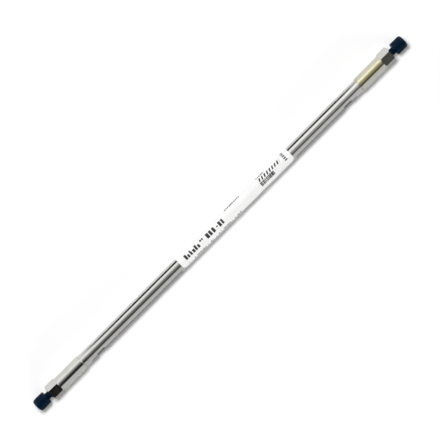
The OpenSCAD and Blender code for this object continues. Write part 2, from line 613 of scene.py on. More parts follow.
# ---------------------------------------------------------------- finishes


class Surface(Graph):
    """A new material's tree, with calls for its shader and for the shared effects."""

    def __init__(self, name: str, effects: Effects | None = None) -> None:
        """Starts the material with its Principled BSDF and the place on the piece, in metres.

        Args:
            name: Name of the material.
            effects: The shared node groups, where it uses them.
        """
        self.effects = effects
        self.material = bpy.data.materials.new(name)
        self.material.use_nodes = True
        super().__init__(self.material.node_tree)
        self.shader = next(node for node in self.tree.nodes if node.type == "BSDF_PRINCIPLED")
        self.place = self.add("ShaderNodeTexCoord").outputs["Object"]

    def paint(self, **values: object) -> None:
        """Feeds the shader's inputs by name, with underscores for spaces."""
        self.fill(self.shader, **values)

    def spread(self, effect: NodeTree, **values: object) -> Sequence[Socket]:
        """Spreads a shared effect over the piece and returns its outputs."""
        return self.use(effect, Place=self.place, **values)

    def bump(self, height: Socket, strength: float, depth: float) -> None:
        """Feeds a height through a Bump node to the shader's normal.

        Args:
            height: The height.
            strength: How much of the bump is used.
            depth: Real height, in metres, of a step from 0 to 1.
        """
        node = self.add("ShaderNodeBump")
        self.paint(Normal=self.fill(node, Strength=strength, Distance=depth, Height=height)[0])


class Finish:
    """What the finishes share: each coats a new surface in its own way."""

    def coat(self, s: Surface) -> None:
        """Coats a surface, which every finish does."""
        raise NotImplementedError

    def material(self, name: str, effects: Effects) -> Material:
        """Makes the finish's material.

        Args:
            name: Name of the material.
            effects: The shared node groups.

        Returns:
            The material.
        """
        surface = Surface(name, effects)
        self.coat(surface)
        return surface.material


@dataclass(frozen=True)
class PaintedReflection:
    """A warm reflection painted on a fitting's skirt as a straw colour, which changes along the
    skirt, lies on its upper side and carries painted shade at its crest.
    """

    start: float  # where the skirt begins, on the tube's side
    end: float  # where the hexagon begins
    near: Colour = (1.0, 0.97, 0.55, 1.0)  # colour by the tube
    middle: Colour = (1.0, 0.91, 0.48, 1.0)  # colour halfway
    far: Colour = (1.0, 0.93, 0.58, 1.0)  # colour by the hexagon
    # painted shade: how far the painted reflection darkens the metal where it is strongest
    depth: Colour = (0.77, 0.77, 0.77, 1.0)
    crest: float = 14.0  # where round the skirt the painted reflection is strongest, in degrees from straight up
    # where the strongest part ends and where it is gone, from the crest
    crest_edge: Pair = (8.0, 24.0)
    spread: float = 25.0  # where round the skirt the middle of its weaker part lies
    # where the weaker part ends and where it is gone, from its middle
    spread_edge: Pair = (30.0, 58.0)
    spread_share: Pair = (0.42, 0.08)  # the painted reflection's share in the weaker part and beyond it
    # where the painted reflection begins and is full, from the skirt's start
    mouth_fade: Pair = (-0.4 * MM, 0.6 * MM)
    # where it begins to fade and has faded, from the hexagon
    hex_fade: Pair = (-0.2 * MM, 0.5 * MM)
    hex_share: float = 0.12  # the painted reflection's share on the hexagon

    def lay(self, s: Surface, metal: Socket) -> Socket:
        """Lays the painted reflection and its painted shade over a metal's colour.

        Args:
            s: The surface.
            metal: The metal's colour.

        Returns:
            The tinted colour.
        """
        x, y, z = s.split(s.place)
        film = s.ramp(s.span(x, self.start, self.end, gentle=False),
                      [(0.0, self.near), (0.5, self.middle), (1.0, self.far)])
        turn = s.times(s.math("ARCTAN2", y, z), 180.0 / math.pi)
        crest, spread = [s.math("ABSOLUTE", s.less(turn, middle))
                         for middle in (self.crest, self.spread)]
        strong = s.span(crest, *self.crest_edge, 1.0, 0.0)
        # painted shade: the crest of the painted reflection is darkened
        film = s.blend(strong, film, self.depth, "MULTIPLY")
        weak = s.span(spread, *self.spread_edge, *self.spread_share)
        along = s.times(s.span(x, *[self.start + shift for shift in self.mouth_fade]),
                        s.span(x, *[self.end + shift for shift in self.hex_fade], 1.0,
                               self.hex_share))
        mask = s.times(s.math("MAXIMUM", strong, weak), along)
        return s.blend(mask, metal, film, "MULTIPLY")


@dataclass(frozen=True)
class TurnedSteel(Finish):
    """Bright turned stainless steel, with tool rings round it."""

    clean: Colour = srgb(213, 212, 208)  # colour of the clean metal
    dull: Colour = srgb(202, 200, 195)  # colour where it is handled
    polish: float = 0.1  # roughness of the clean metal
    dulling: float = 0.06  # what handling adds to the roughness
    rings: float = 5200.0  # tool rings to the metre
    ring_depth: float = 0.0012 * MM
    painted_reflection: PaintedReflection | None = None  # a warm reflection painted as a straw colour, or none

    def coat(self, s: Surface) -> None:
        """Coats a surface with rings, smudges and, where there is one, the painted reflection.

        Args:
            s: The surface.
        """
        rings = s.spread(s.effects.ring_marks, Per_Metre=self.rings)[0]
        smudge = s.spread(s.effects.smudges, Scale=150.0, Share=0.5)[0]
        metal = s.blend(smudge, self.clean, self.dull)
        rough = s.plus(s.times(smudge, self.dulling),
                       s.span(rings, 0.2, 0.9, self.polish, self.polish + 0.07))
        # the painted reflection and its painted shade go into the colour
        s.paint(Base_Color=self.painted_reflection.lay(s, metal) if self.painted_reflection else metal, Metallic=1.0,
                Roughness=rough)
        s.bump(rings, 0.6, self.ring_depth)


@dataclass(frozen=True)
class DrawnSteel(Finish):
    """Drawn and polished stainless tube, with faint lengthwise lines."""

    clean: Colour = srgb(213, 212, 209)  # colour of the clean metal
    dull: Colour = srgb(202, 201, 197)  # colour where it is handled
    polish: float = 0.16  # roughness of the clean metal
    dulling: float = 0.05  # what handling adds to the roughness
    ring_share: float = 0.35  # how far the faint rings show among the lines
    depth: float = 0.0008 * MM

    def coat(self, s: Surface) -> None:
        """Coats a surface with lines, faint rings and smudges.

        Args:
            s: The surface.
        """
        lines = s.spread(s.effects.draw_lines)[0]
        rings = s.spread(s.effects.ring_marks, Per_Metre=2600.0)[0]
        smudge = s.spread(s.effects.smudges, Scale=90.0, Share=0.45)[0]
        rough = s.plus(s.times(smudge, self.dulling),
                       s.span(lines, 0.3, 0.7, self.polish, self.polish + 0.05))
        s.paint(Base_Color=s.blend(smudge, self.clean, self.dull), Metallic=1.0, Roughness=rough)
        s.bump(s.plus(lines, s.times(rings, self.ring_share)), 0.35, self.depth)


@dataclass(frozen=True)
class Grains(Finish):
    """Fine powder, packed hard or sintered."""

    light: Colour  # colour of the palest grains
    dark: Colour  # colour of the darkest grains
    metallic: float  # 1 for metal powder, 0 for any other
    grain: float  # grains to the metre
    rough: Pair  # roughness of the darkest and of the palest grains
    relief: float  # strength of the grains' bump
    depth: float  # depth between the grains

    def coat(self, s: Surface) -> None:
        """Coats a surface with grains of uneven tone.

        Args:
            s: The surface.
        """
        height, tone = s.spread(s.effects.grit, Per_Metre=self.grain)
        s.paint(Base_Color=s.blend(tone, self.dark, self.light), Metallic=self.metallic,
                Roughness=s.span(tone, 0.0, 1.0, *self.rough))
        s.bump(height, self.relief, self.depth)


@dataclass(frozen=True)
class Polymer(Finish):
    """A moulded or machined polymer with a fine matt skin and a paler bloom where it is handled."""

    clean: Colour  # main colour
    bloom: Colour  # colour of the handled places
    shine: float  # roughness of the clean skin
    specular: float = 0.5  # level of its shine
    bloom_share: float = 0.55  # how far the bloom covers the handled places
    speck_share: float = 0.25  # how far it covers the palest grains of the skin
    dulling: float = 0.12  # what handling adds to the roughness
    grain: float = 9000.0  # grains of the skin to the metre
    depth: float = 0.004 * MM

    def coat(self, s: Surface) -> None:
        """Coats a surface with grain and bloom.

        Args:
            s: The surface.
        """
        height, tone = s.spread(s.effects.grit, Per_Metre=self.grain)
        smudge = s.spread(s.effects.smudges, Scale=420.0, Share=0.55)[0]
        colour = s.blend(s.times(smudge, self.bloom_share), self.clean, self.bloom)
        colour = s.blend(s.times(tone, self.speck_share), colour, self.bloom)
        rough = s.plus(s.times(smudge, self.dulling), self.shine)
        s.paint(Base_Color=colour, Roughness=rough, Specular_IOR_Level=self.specular)
        s.bump(height, 0.5, self.depth)


SINTERED_STEEL = Grains(srgb(168, 166, 161), srgb(104, 102, 98), 1.0, 14000.0, (0.45, 0.7), 0.8,
                        0.02 * MM)
POWDER = Grains(srgb(247, 246, 241), srgb(224, 221, 212), 0.0, 22000.0, (0.85, 0.97), 0.6,
                0.008 * MM)
PLUG_POLYMER = Polymer(srgb(0, 19, 38), srgb(4, 31, 51), shine=0.32, specular=0.13)
SEAL_POLYMER = Polymer(srgb(205, 183, 142), srgb(222, 204, 168), shine=0.45)


class Ink(Enum):
    """The inks of the label's print."""

    BLACK = srgb(26, 26, 28)
    GREY = srgb(120, 120, 122)


@dataclass(frozen=True)
class Print:
    """One printed bar or row of bars, in millimetres on the label."""

    start: float  # where the row starts, from the label's outlet end
    length: float  # length of the row along the tube
    base: float  # lower edge of the row, measured round the tube from straight up, towards the back
    height: float  # height of the bars, round the tube
    pitch: float = 1000.0  # from one bar to the next
    fill: float = 1.0  # share of the pitch that a bar fills
    jitter: float = 0.0  # how much that share changes from bar to bar
    slant: float = 0.0  # how far the bars lean for each millimetre of height
    ink: Ink = Ink.BLACK
    # true for a row that runs round the tube, whose start and base change places
    stacked: bool = False

    def lay(self, s: Surface, along: Socket, around: Socket, under: Socket) -> Socket:
        """Prints the row.

        Args:
            s: The surface.
            along: Place along the label, in millimetres.
            around: Place round the tube, in millimetres.
            under: Colour of what is printed on.

        Returns:
            The colour with the row in it.
        """
        u, v = (around, along) if self.stacked else (along, around)
        mask = s.use(s.effects.printed_bar, U=u, V=v, Start=self.start, Length=self.length,
                     Base=self.base, Height=self.height, Pitch=self.pitch, Fill=self.fill,
                     Jitter=self.jitter, Slant=self.slant)[0]
        return s.blend(mask, under, self.ink.value)


@dataclass(frozen=True)
class LabelFilm(Finish):
    """White satin label film with generic bars in black and grey printed on it."""

    start: float  # the label's outlet end, along the column
    radius: float  # radius on which the print is laid out
    rows: tuple[Print, ...]
    white: Colour = srgb(236, 236, 235)  # colour of the film
    shade: Colour = srgb(230, 230, 229)  # colour of its faint mottling
    specular: float = 0.8  # level of its shine
    depth: float = 0.003 * MM

    def coat(self, s: Surface) -> None:
        """Coats a surface with white film and prints the rows on it.

        Args:
            s: The surface.
        """
        x, y, z = s.split(s.place)
        along = s.math("DIVIDE", s.less(x, self.start), MM)
        around = s.times(s.math("ARCTAN2", y, z), self.radius / MM)
        smudge = s.spread(s.effects.smudges, Scale=70.0, Share=0.6)[0]
        colour = s.blend(s.times(smudge, 0.5), self.white, self.shade)
        for row in self.rows:
            colour = row.lay(s, along, around, colour)
        s.paint(Base_Color=colour, Roughness=s.span(smudge, 0.0, 1.0, 0.38, 0.5),
                Specular_IOR_Level=self.specular)
        s.bump(s.spread(s.effects.grit, Per_Metre=3800.0)[0], 0.15, self.depth)


# ---------------------------------------------------------------- the column's pieces


def dress(obj: Object, material: Material, body: str, node: str) -> None:
    """Gives a finished piece its material and ties it to the frame.

    Args:
        obj: The piece.
        material: Its finish.
        body: The CAD body that it rides on.
        node: The CAD node that it stands for.
    """
    keep_inside(obj, node)
    obj.data.materials.clear()
    obj.data.materials.append(material)
    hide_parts(node)
    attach(obj, body)
    log.info("%s: %d faces, rides on %s", obj.name, len(obj.data.polygons), body)


def dress_node(node: str, material: Material) -> None:
    """Gives a carried-over CAD node a finish of its own.

    Args:
        node: The CAD node.
        material: Its finish.
    """
    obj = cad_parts[node]
    if not obj.material_slots:
        obj.data.materials.append(material)
    for holder in obj.material_slots:
        holder.material = material
    log.info("%s: dressed as it is", node)


class End(Enum):
    """The two ends of the column, as the nodes' names spell them."""

    INLET = "inlet"
    OUTLET = "outlet"


@dataclass
class Part:
    """What the sub-assemblies share."""

    effects: Effects

    def build(self) -> None:
        """Builds and dresses the sub-assembly."""
        raise NotImplementedError


@dataclass
class Tube(Part):
    """The column tube, with its turned-down ends and its wrench flats."""

    thread_relief: float = 0.35 * MM  # depth to which the ends are turned down
    # distance from the tube's end to the shoulder of the turned-down part
    spigot_start: float = 13.95 * MM
    bore_r: float = 2.3 * MM
    flat_depth: float = 0.47 * MM
    flat_len: float = 5.5 * MM
    flat_gap: float = 8.85 * MM  # bare tube between the fitting and the flat
    flat_angle: float = math.radians(60.0)  # angle of the flats from straight up, towards the front
    steady: float = 0.3 * MM  # how far rings of vertices stand from a flat's ends
    broken_edge: float = 0.06 * MM
    radius: float = field(init=False)
    end_x: float = field(init=False)
    skirt_x: float = field(init=False)

    def __post_init__(self) -> None:
        """Reads the tube's size and the fitting's edge off the frame."""
        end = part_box("column_tube")[1]
        self.radius = end.z
        self.end_x = end.x
        self.skirt_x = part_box("inlet_end_fitting")[0].x

    def _turned(self) -> Object:
        """Turns the tube with its bore and both spigots.

        Returns:
            The tube without its flats.
        """
        shoulder = self.end_x - self.spigot_start
        spigot_r = self.radius - self.thread_relief
        half = [(shoulder, self.radius), (shoulder, spigot_r), (self.end_x, spigot_r),
                (self.end_x, self.bore_r)]
        other = [(-x, r) for x, r in reversed(half)]
        flat_x = self.skirt_x - self.flat_gap
        rings = [self.skirt_x + 1 * MM, self.skirt_x - 1 * MM, flat_x + self.steady,
                 flat_x - self.flat_len - self.steady, 50 * MM, 0.0]
        middle = [(-x, self.radius) for x in rings] + [
            (x, self.radius) for x in reversed(rings[:-1])]
        return turn_on_lathe("tube_piece", other + middle + half, looped=True)

    def build(self) -> None:
        """Builds the tube, with two parallel flats near each end."""
        tube = self._turned()
        x = self.skirt_x - self.flat_gap - self.flat_len / 2
        for middle in (x, -x):
            for turn in (self.flat_angle, self.flat_angle + math.pi):
                mill_flat(tube, middle, self.flat_len, self.radius - self.flat_depth, turn,
                          2 * self.radius)
        soften_edges(tube, self.broken_edge)
        smooth(tube)
        finish = DrawnSteel().material("drawn_steel", self.effects)
        dress(tube, finish, "column", "column_tube")


@dataclass
class EndFitting(Part):
    """A one-piece end fitting: a hexagon with a long skirt, a threaded port and a frit pocket."""

    tube: Tube  # the tube that it screws over
    hex_len: float = 7.2 * MM
    hex_step: float = 0.03 * MM  # step from the skirt up to the hexagon's flats
    hex_bite: float = 0.15 * MM  # how far the corner chamfer cuts into the end face
    hex_slope: float = math.radians(30.0)  # slope of the corner chamfers from the end faces
    skirt_chamfer: float = 0.3 * MM
    # narrow band at each end of the skirt that takes up the turn of the shading
    edge_band: float = 0.2 * MM
    slip: float = 0.02 * MM  # clearance round what the fitting screws over
    end_gap: float = 0.1 * MM  # clearance at the ends of what it screws over
    pocket_depth: float = 1.6 * MM  # thickness of the frit in its pocket
    ring_inset: float = 0.3 * MM  # how far the pocket's wall lies inside the thread
    port_r: float = 2.28 * MM  # radius of the port's thread bore
    port_depth: float = 5.1 * MM
    port_chamfer: float = 0.4 * MM
    pilot_r: float = 0.8 * MM
    pilot_len: float = 0.72 * MM
    passage_r: float = 0.25 * MM
    funnel: float = 0.25 * MM  # depth of the funnel over the frit
    broken_edge: float = 0.07 * MM

    def _profile(self) -> list[Station]:
        """Works out the whole turned profile, with the hexagon still round.

        Returns:
            The stations, outside then inside.
        """
        tube = self.tube
        low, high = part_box("inlet_end_fitting")
        skirt, face, flat_r = low.x, high.x, high.z
        corner_r = flat_r / math.cos(math.radians(30.0))
        skirt_r = flat_r - self.hex_step
        hex_x = face - self.hex_len
        slope = math.tan(self.hex_slope)
        bite_r = flat_r - self.hex_bite
        lip_r = tube.radius + self.slip
        thread_r = tube.radius - tube.thread_relief + self.slip
        pocket_r = tube.radius - tube.thread_relief - self.ring_inset + self.slip
        shoulder = tube.end_x - tube.spigot_start + self.end_gap
        floor = tube.end_x + self.pocket_depth
        seat = face - self.port_depth
        cone = seat - (self.port_r - self.pilot_r)
        return [
            (skirt + self.skirt_chamfer, skirt_r),
            (skirt + self.skirt_chamfer + self.edge_band, skirt_r),
            (hex_x - self.edge_band, skirt_r),
            (hex_x, skirt_r),
            (hex_x + (corner_r - skirt_r) * slope, corner_r),
            (face - (corner_r - bite_r) * slope, corner_r),
            (face, bite_r),
            (face, self.port_r + self.port_chamfer),
            (face - self.port_chamfer, self.port_r),
            (seat, self.port_r),
            (cone, self.pilot_r),
            (cone - self.pilot_len, self.pilot_r),
            (cone - self.pilot_len, self.passage_r),
            (floor + self.funnel, self.passage_r),
            (floor, tube.bore_r),
            (floor, pocket_r),
            (tube.end_x + self.end_gap, pocket_r),
            (tube.end_x + self.end_gap, thread_r),
            (shoulder, thread_r),
            (shoulder, lip_r),
            (skirt, lip_r),
            (skirt, skirt_r - self.skirt_chamfer),
        ]

    def build(self) -> None:
        """Builds both fittings, with a warm reflection and its shade painted on the inlet one's
        skirt.
        """
        low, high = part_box("inlet_end_fitting")
        inlet = turn_on_lathe("inlet_fitting_piece", self._profile(), looped=True)
        length = self.hex_len + 1 * MM
        for i in range(6):
            mill_flat(inlet, high.x - self.hex_len + length / 2, length, high.z,
                      math.radians(60.0 * i), 4 * high.z)
        soften_edges(inlet, self.broken_edge)
        smooth(inlet)
        outlet = copy_turned(inlet, "outlet_fitting_piece")
        # painted reflection: straw colour and painted shade on the inlet skirt's upper side
        painted_reflection = PaintedReflection(start=low.x, end=high.x - self.hex_len)
        steel_with_painted_reflection = TurnedSteel(painted_reflection=painted_reflection).material("turned_steel_with_painted_reflection", self.effects)
        plain = TurnedSteel().material("turned_steel", self.effects)
        dress(inlet, steel_with_painted_reflection, "column", "inlet_end_fitting")
        dress(outlet, plain, "column", "outlet_end_fitting")


@dataclass
class Plug(Part):
    """A knurled screw plug with a moulded head and a threaded shank, and its sealing ferrule."""

    head_r: float = 3.9 * MM  # radius of the head over the knurl
    head_len: float = 8.0 * MM
    crown_r: float = 1.8 * MM  # radius of the outer corner
    dome_r: float = 14.0 * MM  # radius of the domed end
    head_chamfer: float = 0.35 * MM  # chamfer at the head's inner end
    collar_len: float = 0.9 * MM  # plain collar before the knurl
    knurl_count: int = 36
    knurl_depth: float = 0.2 * MM
    knurl_edge: float = 0.12 * MM  # how far a groove takes to reach its depth
    root_r: float = 1.93 * MM  # radius at the root of the thread
    crest_r: float = 2.25 * MM  # radius at the crest of the thread
    pitch: float = 25.4 / 32 * MM
    thread_sink: float = 0.06 * MM  # how deep the thread's foot stands in the shank
    thread_foot: float = 0.46  # half the thread's width at its foot, in pitches
    thread_crest: float = 0.09  # half its width at its crest, in pitches
    thread_steps: int = 36  # steps of one turn of the thread
    tip_chamfer: float = 0.1 * MM  # chamfer at the shank's tip
    peg_r: float = 0.9 * MM
    peg_len: float = 1.8 * MM
    nose_r: float = 0.8 * MM  # radius of the ferrule's nose
    run_gap: float = 0.03 * MM  # clearance round the peg
    start_x: float = field(init=False)
    head_x: float = field(init=False)

    def __post_init__(self) -> None:
        """Reads off the frame where the shank and the head start."""
        low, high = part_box("inlet_plug")
        self.start_x = low.x
        self.head_x = high.x - self.head_len

    def _crown(self) -> list[Station]:
        """Works out the rounded corner and the dome of the head's outer end, and where they cross.

        Returns:
            The stations.
        """
        end_x = self.head_x + self.head_len
        corner = (end_x - self.crown_r, self.head_r - self.crown_r)
        dome = (end_x - self.dome_r, 0.0)
        gap = Vector((corner[0] - dome[0], corner[1]))
        along = (gap.length_squared + self.dome_r ** 2 - self.crown_r ** 2) / (2 * gap.length)
        aside = math.sqrt(self.dome_r ** 2 - along ** 2)
        unit = gap.normalized()
        meet = Vector(dome) + unit * along + Vector((-unit.y, unit.x)) * aside
        corner_end, dome_start = [math.degrees(math.atan2(meet.x - x, meet.y - r))
                                  for x, r in (corner, dome)]
        return (arc(corner, self.crown_r, 0.0, corner_end, 10)
                + arc(dome, self.dome_r, dome_start, 90.0, 7)[1:])

    def _turned(self) -> Object:
        """Turns the shank and the head, with the socket for the ferrule's peg.

        Returns:
            The plug without its thread.
        """
        start_x, head_x = self.start_x, self.head_x
        knurl_start = head_x + self.collar_len
        knurl_end = head_x + self.head_len - self.crown_r
        socket_x = start_x + self.peg_len + self.run_gap
        socket_r = self.peg_r + self.run_gap
        profile = [
            (socket_x, 0.0),
            (socket_x, socket_r),
            (start_x, socket_r),
            (start_x, self.root_r - self.tip_chamfer),
            (start_x + self.tip_chamfer, self.root_r),
            (head_x, self.root_r),
            (head_x, self.head_r - self.head_chamfer),
            (head_x + self.head_chamfer, self.head_r),
            (knurl_start, self.head_r),
            (knurl_start + self.knurl_edge, self.head_r),
            (knurl_end - self.knurl_edge, self.head_r),
        ] + self._crown()
        plug = turn_on_lathe("plug_piece", profile, sides=self.knurl_count * 4)
        self._press_knurl(plug, knurl_start + self.knurl_edge / 2, knurl_end - self.knurl_edge / 2)
        return plug

    def _press_knurl(self, plug: Object, start: float, end: float) -> None:
        """Presses every fourth line of the head inwards, between the collar and the crown.

        Args:
            plug: The turned plug.
            start: Where the grooves start.
            end: Where they end.
        """
        step = 2 * math.pi / self.knurl_count
        rim_r = self.head_r - 0.01 * MM
        on_line = 0.05
        enter_edit(plug)
        bpy.ops.mesh.select_all(action="DESELECT")
        leave_edit()
        for vertex in plug.data.vertices:
            turn = math.atan2(vertex.co.y, vertex.co.z) / step
            vertex.select = (start < vertex.co.x < end and vertex.co.yz.length > rim_r
                             and abs(turn - round(turn)) < on_line)
        bpy.ops.object.mode_set(mode="EDIT")
        factor = 1.0 - self.knurl_depth / self.head_r
        bpy.ops.transform.resize(value=(1.0, factor, factor), center_override=(start, 0.0, 0.0))
        leave_edit()

    def _thread(self) -> Object:
        """Winds one closed right-handed ridge round the shank.

        Returns:
            The ridge.
        """
        ridge = set_down(bpy.ops.mesh.primitive_plane_add, "thread_piece", (1.0, 1.0, 1.0))
        foot_r = self.root_r - self.thread_sink
        foot, crest = self.pitch * self.thread_foot, self.pitch * self.thread_crest
        corners = ((-foot, foot_r), (foot, foot_r), (crest, self.crest_r), (-crest, self.crest_r))
        order = sorted(ridge.data.vertices, key=lambda v: math.atan2(v.co.y, v.co.x))
        for vertex, (x, z) in zip(order, corners):
            vertex.co = Vector((self.start_x + self.pitch / 2 + x, 0.0, z))
        enter_edit(ridge, "FACE")
        bpy.ops.mesh.delete(type="ONLY_FACE")
        leave_edit()
        turns = (self.head_x - self.start_x - self.pitch / 2) / self.pitch
        steps = int(self.thread_steps * turns)
        modify(ridge, "SCREW", axis="X", angle=2 * math.pi * turns,
               screw_offset=self.pitch * turns, steps=steps, render_steps=steps,
               use_merge_vertices=False)
        enter_edit(ridge, "EDGE")
        bpy.ops.mesh.select_all(action="DESELECT")
        bpy.ops.mesh.select_non_manifold()
        bpy.ops.mesh.fill_holes(sides=0)
        leave_edit()
        close_up(ridge)
        return ridge

    def build(self) -> None:
        """Builds both plugs, then both ferrules."""
        inlet = self._turned()
        smooth(inlet, 38.0)
        thread = self._thread()
        smooth(thread, 40.0)
        activate(inlet)
        thread.select_set(True)
        bpy.ops.object.join()
        newest("inlet_plug_piece")
        outlet = copy_turned(inlet, "outlet_plug_piece")
        finish = PLUG_POLYMER.material("plug_polymer", self.effects)
        dress(inlet, finish, "inlet_screw", "inlet_plug")
        dress(outlet, finish, "outlet_screw", "outlet_plug")
        self._ferrules()

    def _ferrules(self) -> None:
        """Builds both ferrules: a sealing cone, a straight back and the peg the plug turns on."""
        low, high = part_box("inlet_plug_ferrule")
        body_r = high.z
        back_x = high.x - self.peg_len
        profile = [
            (low.x, 0.0),
            (low.x, self.nose_r),
            (low.x + (body_r - self.nose_r), body_r),
            (back_x, body_r),
            (back_x, self.peg_r),
            (high.x, self.peg_r),
            (high.x, 0.0),
        ]
        inlet = turn_on_lathe("inlet_ferrule_piece", profile, sides=96)
        soften_edges(inlet, 0.05 * MM)
        smooth(inlet)
        outlet = copy_turned(inlet, "outlet_ferrule_piece")
        finish = SEAL_POLYMER.material("seal_polymer", self.effects)
        dress(inlet, finish, "inlet_tip", "inlet_plug_ferrule")
        dress(outlet, finish, "outlet_tip", "outlet_plug_ferrule")


@dataclass
class Label(Part):
    """The label: a thin film with rounded corners, wrapped most of the way round the tube."""

    wrap: float = 295.0  # how far round the tube the film reaches, in degrees
    edge: float = 60.0  # angle of its front edge from straight up, towards the front, in degrees
    thickness: float = 0.15 * MM
    corner: float = 3.2 * MM  # radius of its corners
    corner_steps: int = 10  # faces round each corner
    strips: int = 96  # strips into which the flat film is cut across before it is bent
    # the generic bars printed on it, from its outlet end
    rows: tuple[Print, ...] = (
        Print(4.3, 11.6, -0.3, 2.1, 1.95, 0.74, 0.2),
        Print(4.3, 11.6, 1.7, 1.1, 3.9, 0.3, 0.2),
        Print(16.6, 3.0, 1.6, 1.2, 1.5, 0.74, 0.2),
        Print(21.2, 7.2, -0.3, 3.1, 2.4, 0.74, 0.16),
        Print(29.0, 1.2, 0.9, 0.7),
        Print(30.8, 4.4, -0.3, 3.1, 2.2, 0.68, 0.2),
        Print(4.3, 41.4, -3.8, 1.1, 2.1, 0.55, 0.9, ink=Ink.GREY),
        Print(38.5, 11.8, 4.6, 1.3, 1.2, 0.72, 0.4),
        Print(63.4, 5.9, 4.6, 1.2, 1.1, 0.68, 0.4),
        Print(63.7, 16.2, 1.7, 2.2, 2.0, 0.52, slant=0.4),
        Print(63.4, 8.3, -1.2, 2.6, 0.9, 0.74, 0.3),
        Print(71.7, 1.2, -1.1, 2.4),
        Print(72.9, 0.9, -1.1, 2.4, ink=Ink.GREY),
        Print(-0.1, 6.3, 82.4, 1.8, 1.3, 0.7, 0.4, stacked=True),
    )

    def build(self) -> None:
        """Cuts the flat film, bends it round the tube and prints it."""
        low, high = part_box("label")
        tube_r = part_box("column_tube")[1].z
        middle_r = tube_r + self.thickness / 2
        width = middle_r * math.radians(self.wrap)
        film = set_down(bpy.ops.mesh.primitive_plane_add, "label_piece",
                        (high.x - low.x, width, 1.0))
        enter_edit(film)
        bpy.ops.mesh.bevel(offset=self.corner, offset_type="OFFSET", segments=self.corner_steps,
                           affect="VERTICES")
        for i in range(1, self.strips):
            bpy.ops.mesh.select_all(action="SELECT")
            bpy.ops.mesh.bisect(plane_co=(0.0, width * (i / self.strips - 0.5), 0.0),
                                plane_no=(0.0, 1.0, 0.0))
        leave_edit()
        modify(film, "SOLIDIFY", thickness=self.thickness, offset=0.0)
        self._bend(film, (low.x + high.x) / 2, middle_r, width)
        soften_edges(film, 0.03 * MM, angle=50.0)
        smooth(film, 40.0)
        finish = LabelFilm(start=low.x, radius=tube_r + self.thickness, rows=self.rows)
        dress(film, finish.material("label_film", self.effects), "column", "label")

    def _bend(self, film: Object, middle_x: float, radius: float, width: float) -> None:
        """Bends the flat film round the tube.

        Args:
            film: The flat film, centred on the origin.
            middle_x: Where its middle goes along the column.
            radius: Radius of the film's middle surface.
            width: Width of the flat film, across the tube.
        """
        first = math.radians(-self.edge)
        for vertex in film.data.vertices:
            flat = vertex.co.copy()
            turn = first + (flat.y / width + 0.5) * math.radians(self.wrap)
            r = radius + flat.z
            vertex.co = Vector((middle_x + flat.x, r * math.sin(turn), r * math.cos(turn)))
        close_up(film)


# ---------------------------------------------------------------- studio


@dataclass(frozen=True)
class Lamp:
    """A broad soft lamp on the inlet side, with its mirror image on the outlet side.

    Polished surfaces don't mirror it.
    """

    name: str
    place: tuple[float, float, float]  # its middle on the inlet side
    size: Pair  # its length and width
    power: float  # its power in watts

    def build(self) -> None:
        """Hangs both lamps, facing the middle of the column."""
        for side in (1, -1):
            light = bpy.data.lights.new(self.name, "AREA")
            light.shape = "RECTANGLE"
            light.size, light.size_y = self.size
            light.energy = self.power
            holder = bpy.data.objects.new(self.name, light)
            holder.visible_glossy = False
            bpy.context.scene.collection.objects.link(holder)
            holder.location = (side * self.place[0], self.place[1], self.place[2])
            aim = (-holder.location).normalized()
            across = aim.cross(Vector((1.0, 0.0, 0.0))).normalized()
            turn = Matrix((aim.cross(across), across, -aim)).transposed()
            holder.rotation_euler = turn.to_euler()


@dataclass(frozen=True)
class Flag:
    """A card that shows in polished metal and nowhere else."""

    name: str
    place: Pair  # its middle, along the column and behind it
    size: Pair  # its length and width
    shade: float  # its reflectance
    lift: float = 0.2 * MM  # how far it lies above the floor
    stand: float = 0.0  # 0 for a card that lies on the floor, 90 for one that stands on it

    def build(self, floor_z: float) -> None:
        """Cuts the card and puts it in its place.

        Args:
            floor_z: Height of the floor.
        """
        card = set_down(bpy.ops.mesh.primitive_plane_add, self.name, (*self.size, 1.0),
                        (*self.place, floor_z + self.lift), math.radians(self.stand))
        surface = Surface(self.name)
        surface.paint(Base_Color=(self.shade,) * 3 + (1.0,), Roughness=0.9, Specular_IOR_Level=0.0)
        card.data.materials.append(surface.material)
        card.visible_camera = False
        card.visible_diffuse = False
        card.visible_shadow = False


